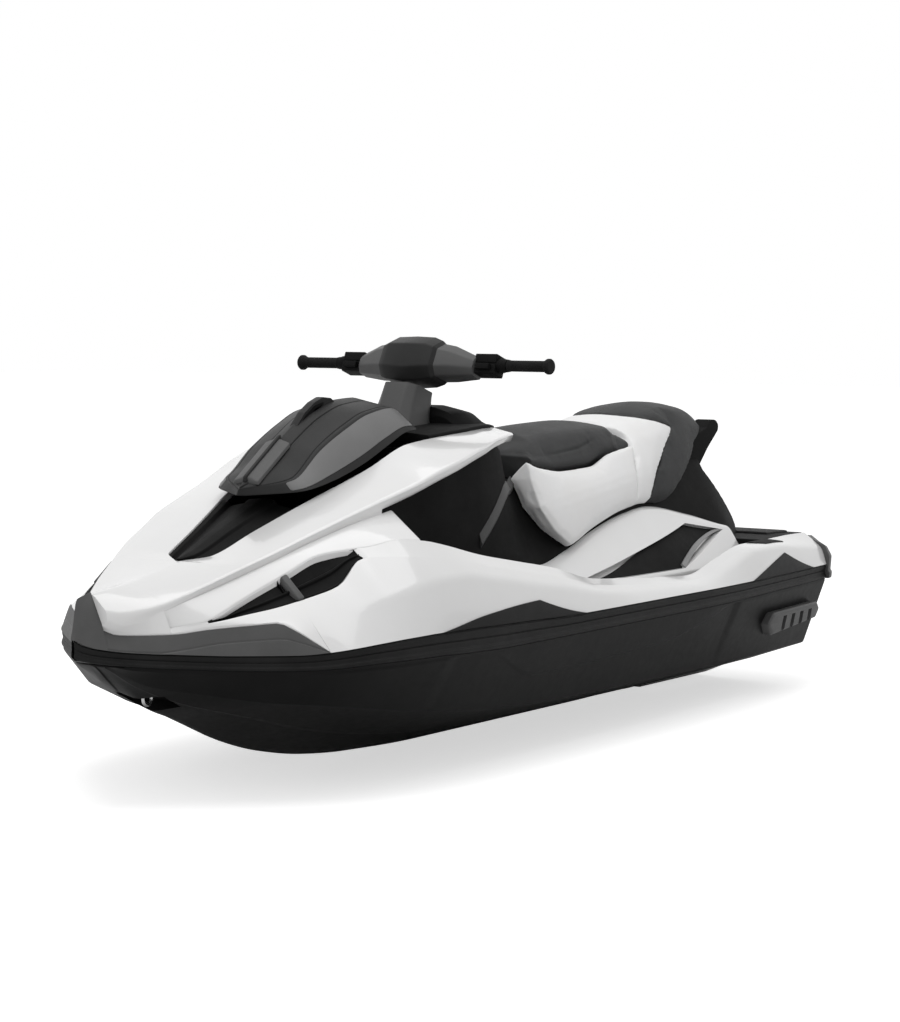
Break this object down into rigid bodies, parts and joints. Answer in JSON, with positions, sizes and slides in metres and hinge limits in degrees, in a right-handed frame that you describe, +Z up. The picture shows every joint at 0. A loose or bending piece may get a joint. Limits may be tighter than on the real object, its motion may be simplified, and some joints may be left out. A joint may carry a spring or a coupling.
{
  "type": "personal watercraft",
  "caption": "Sit-down jet-drive personal watercraft: dark V hull with rub rail, white faceted cowl, storage lid, padded saddle, tilted handlebar, steerable nozzle and reversing bucket.",
  "frame": {"origin": "on the centreline amidships, level with the water that the empty craft floats in", "axes": "+X to port, +Y towards the stern, +Z up"},
  "size_m": [1.2162, 3.358, 1.2341],
  "materials": {
    "hull_black": "satin gelcoat",
    "deck_black": "satin",
    "rail_black": "satin",
    "bumper_charcoal": "satin",
    "body_white": "gloss gelcoat",
    "trim_black": "satin",
    "lid_charcoal": "satin gloss",
    "saddle_dark": "grained vinyl",
    "saddle_white": "smooth vinyl",
    "mat_rubber": "textured foam rubber",
    "grip_rubber": "knurled",
    "panel_gloss": "gloss",
    "dark_metal": "satin",
    "stainless": "brushed",
    "cast_alloy": "cast, satin"
  },
  "bodies": {
    "craft": {"hull": "hull_black", "deck": "deck_black", "rub_rail_left": "rail_black", "rub_rail_right": "rail_black", "bow_bumper": "bumper_charcoal", "stern_bumper": "bumper_charcoal", "side_panel_left": "body_white", "side_panel_right": "body_white", "side_vents": "trim_black", "cowl_side_left": "body_white", "cowl_side_right": "body_white", "cowl": "body_white", "cowl_insert": "trim_black", "storage_bin": "deck_black", "pedestal": "deck_black", "console": "lid_charcoal", "fender_left": "body_white", "fender_right": "body_white", "fender_vents": "trim_black", "seat_front": "saddle_dark", "seat_bolster_left": "saddle_white", "seat_bolster_right": "saddle_white", "seat_band": "saddle_white", "seat_rear": "saddle_dark", "grab_handle": "trim_black", "rear_deck": "deck_black", "rear_mat": "mat_rubber", "footwell_mats": "mat_rubber", "engine": "cast_alloy", "column_cover": "lid_charcoal", "gauge": "panel_gloss", "pump_housing": "cast_alloy", "ride_plate": "cast_alloy", "intake_grate": "cast_alloy", "sponsons": "trim_black", "bow_eye": "stainless", "stern_eyes": "stainless", "tow_hook": "stainless"},
    "steering": {"steering_stem": "dark_metal", "handlebar": "dark_metal", "bar_pad": "lid_charcoal", "switch_housings": "trim_black", "grips": "grip_rubber"},
    "lid": {"storage_lid": "lid_charcoal"},
    "impeller": {"impeller": "stainless", "drive_shaft": "stainless"},
    "nozzle": {"nozzle": "cast_alloy"},
    "reverse_bucket": {"reverse_bucket": "cast_alloy"}
  },
  "joints": [
    {"name": "steering", "type": "hinge", "parent": "craft", "child": "steering", "pos_m": [0, -0.21, 0.725], "axis": [0, 0.342, 0.9397], "range_deg": [-25, 25]},
    {"name": "lid_hinge", "type": "hinge", "parent": "craft", "child": "lid", "pos_m": [0, -0.96, 0.543], "axis": [1, 0, 0], "range_deg": [0, 65]},
    {"name": "impeller_spin", "type": "hinge", "parent": "craft", "child": "impeller", "pos_m": [0, 1.166, -0.125], "axis": [0, 1, 0], "continuous": true},
    {"name": "nozzle_yaw", "type": "hinge", "parent": "craft", "child": "nozzle", "pos_m": [0, 1.34, -0.125], "axis": [0, 0, 1], "range_deg": [-20, 20]},
    {"name": "bucket_swing", "type": "hinge", "parent": "nozzle", "child": "reverse_bucket", "pos_m": [0, 1.42, -0.125], "axis": [-1, 0, 0], "range_deg": [0, 70]}
  ],
  "couplings": [
    {"joint": "nozzle_yaw", "follows": "steering", "ratio": -0.8}
  ]
}
